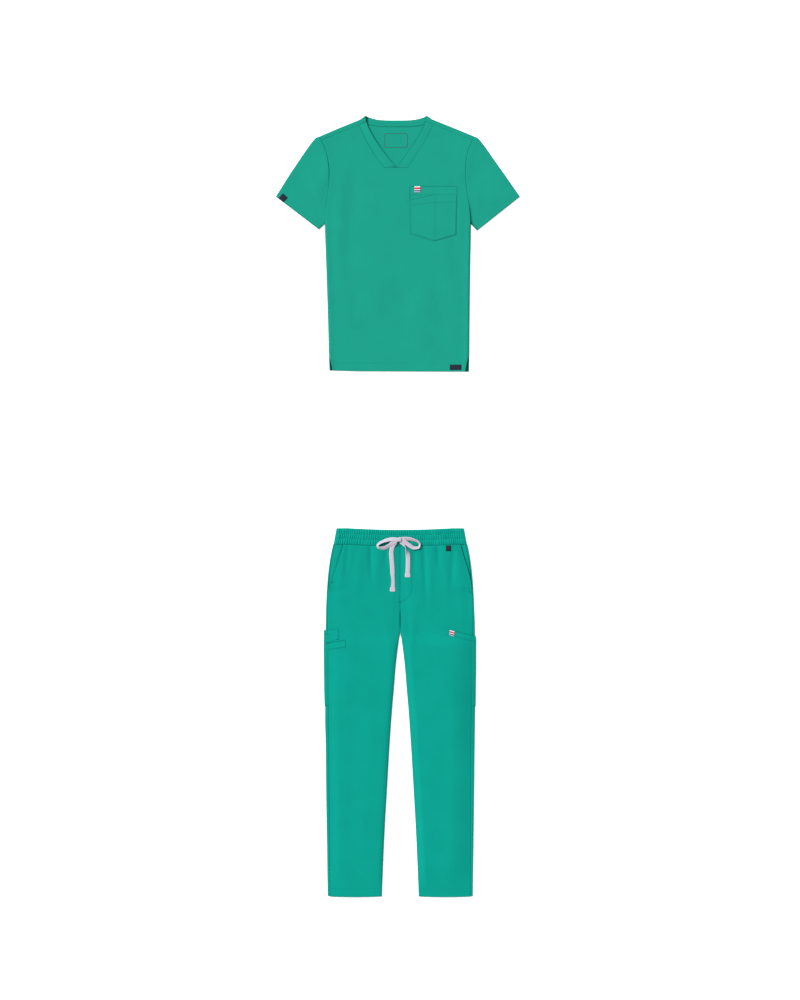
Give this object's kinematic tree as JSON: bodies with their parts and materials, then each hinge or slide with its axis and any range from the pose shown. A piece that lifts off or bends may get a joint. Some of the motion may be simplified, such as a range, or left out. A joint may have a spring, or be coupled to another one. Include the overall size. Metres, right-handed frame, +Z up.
{
  "type": "medical scrub set",
  "caption": "Short-sleeved V-neck scrub top with a patch chest pocket, laid flat above straight drawstring scrub trousers with slant and cargo pockets.",
  "frame": {"origin": "middle of the set's outline, on the surface it lies on", "axes": "+Z up from the surface, +Y towards the neck, +X towards the wearer's left"},
  "size_m": [0.6888, 2.2042, 0.0177],
  "materials": {
    "top_cloth": "matt plain weave",
    "trouser_cloth": "matt plain weave",
    "tab": "woven tape",
    "label": "woven label",
    "tape": "woven flat tape"
  },
  "bodies": {
    "root": {"top_back": "top_cloth", "top_front": "top_cloth", "neck_band_back": "top_cloth", "neck_band_left": "top_cloth", "neck_band_right": "top_cloth", "sleeve_left": "top_cloth", "sleeve_right": "top_cloth", "chest_pocket": "top_cloth", "chest_pocket_overlay": "top_cloth", "chest_tab": "tab", "cargo_tab": "tab", "hem_label": "label", "sleeve_tag": "label", "waist_tag": "label", "waistband": "trouser_cloth", "leg_left_back": "trouser_cloth", "leg_left_front": "trouser_cloth", "leg_right_back": "trouser_cloth", "leg_right_front": "trouser_cloth", "hip_pocket_left": "trouser_cloth", "hip_pocket_right": "trouser_cloth", "cargo_pocket_left": "trouser_cloth", "cargo_pocket_right": "trouser_cloth", "pen_pocket": "trouser_cloth", "drawstring_knot": "tape", "drawstring_loop_left": "tape", "drawstring_loop_right": "tape", "drawstring_tail_left": "tape", "drawstring_tail_right": "tape"}
  },
  "joints": []
}
